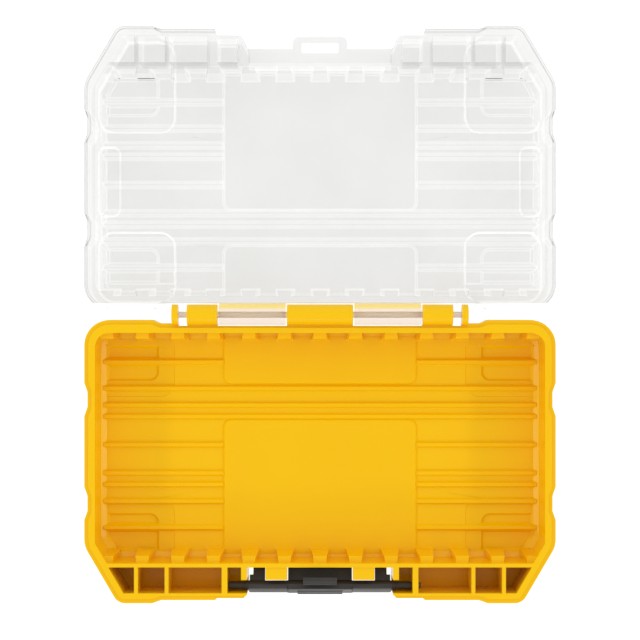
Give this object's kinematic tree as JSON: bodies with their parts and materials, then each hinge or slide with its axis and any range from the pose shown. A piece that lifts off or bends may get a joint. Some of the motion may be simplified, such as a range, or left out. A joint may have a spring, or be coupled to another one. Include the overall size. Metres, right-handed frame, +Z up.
{
  "type": "compartment organizer box",
  "caption": "Flat hinged parts case with toothed divider racks, ribbed floor, front pockets, a clear lid lying open and a swinging front latch.",
  "frame": {"origin": "on the table under the middle of the hinge, centred on the open case", "axes": "+X along the hinge, -Y towards the front of the base, +Y towards the open lid, +Z up"},
  "size_m": [0.236, 0.289, 0.0341],
  "materials": {
    "base_plastic": "semi-gloss moulded",
    "clear_plastic": "clear moulded",
    "latch_plastic": "fine-grained moulded",
    "pin_plastic": "natural nylon, extruded",
    "dark_rod": "blackened"
  },
  "bodies": {
    "base": {"base_tub": "base_plastic", "hinge_rod": "pin_plastic", "latch_axle": "dark_rod"},
    "lid": {"lid": "clear_plastic"},
    "latch": {"latch": "latch_plastic"}
  },
  "joints": [
    {"name": "lid_hinge", "type": "hinge", "parent": "base", "child": "lid", "pos_m": [0, 0, 0.029], "axis": [1, 0, 0], "range_deg": [0, 180]},
    {"name": "latch_swing", "type": "hinge", "parent": "base", "child": "latch", "pos_m": [0, -0.1364, 0.022], "axis": [1, 0, 0], "range_deg": [0, 16]}
  ]
}
